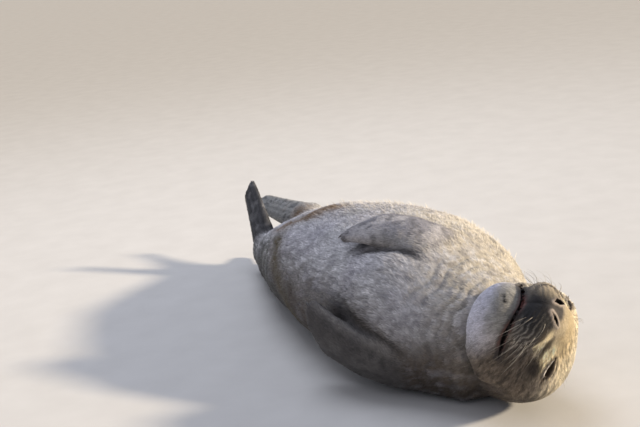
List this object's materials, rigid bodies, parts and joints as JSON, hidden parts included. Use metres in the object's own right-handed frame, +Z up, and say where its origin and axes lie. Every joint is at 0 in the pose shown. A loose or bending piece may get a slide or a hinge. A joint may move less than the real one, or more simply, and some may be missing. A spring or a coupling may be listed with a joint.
{
  "type": "grey seal pup, still life-size model lying on its back",
  "caption": "Plump seal pup lying on its back, rolled to its left side, chin tucked and muzzle up, fore flippers folded along the body, hind flippers trailing.",
  "frame": {"origin": "centre of the bounding box on the floor under the animal", "axes": "+X toward the head, the belly turned toward -Y, +Z up from the floor"},
  "size_m": [1.1528, 0.3542, 0.2381],
  "materials": {
    "head_coat": "short dense fur",
    "neck_coat": "short dense fur",
    "chest_coat": "short dense fur",
    "abdomen_coat": "short dense fur",
    "pelvis_coat": "short dense fur",
    "tail_coat": "short dense fur",
    "fore_flipper_left_coat": "short dense fur",
    "fore_flipper_right_coat": "short dense fur",
    "hind_flipper_left_coat": "short dense fur",
    "hind_flipper_right_coat": "short dense fur",
    "eye": "wet, glossy",
    "claw": "satin horn"
  },
  "bodies": {
    "root": {"head": "head_coat", "neck": "neck_coat", "chest": "chest_coat", "abdomen": "abdomen_coat", "pelvis": "pelvis_coat", "tail": "tail_coat", "fore_flipper_left": "fore_flipper_left_coat", "fore_flipper_right": "fore_flipper_right_coat", "hind_flipper_left": "hind_flipper_left_coat", "hind_flipper_right": "hind_flipper_right_coat", "eye_left": "eye", "eye_right": "eye", "claw_fore_left_1": "claw", "claw_fore_left_2": "claw", "claw_fore_left_3": "claw", "claw_fore_left_4": "claw", "claw_fore_left_5": "claw", "claw_fore_right_1": "claw", "claw_fore_right_2": "claw", "claw_fore_right_3": "claw", "claw_fore_right_4": "claw", "claw_fore_right_5": "claw", "claw_hind_left_1": "claw", "claw_hind_left_2": "claw", "claw_hind_left_3": "claw", "claw_hind_left_4": "claw", "claw_hind_left_5": "claw", "claw_hind_right_1": "claw", "claw_hind_right_2": "claw", "claw_hind_right_3": "claw", "claw_hind_right_4": "claw", "claw_hind_right_5": "claw"}
  },
  "joints": []
}
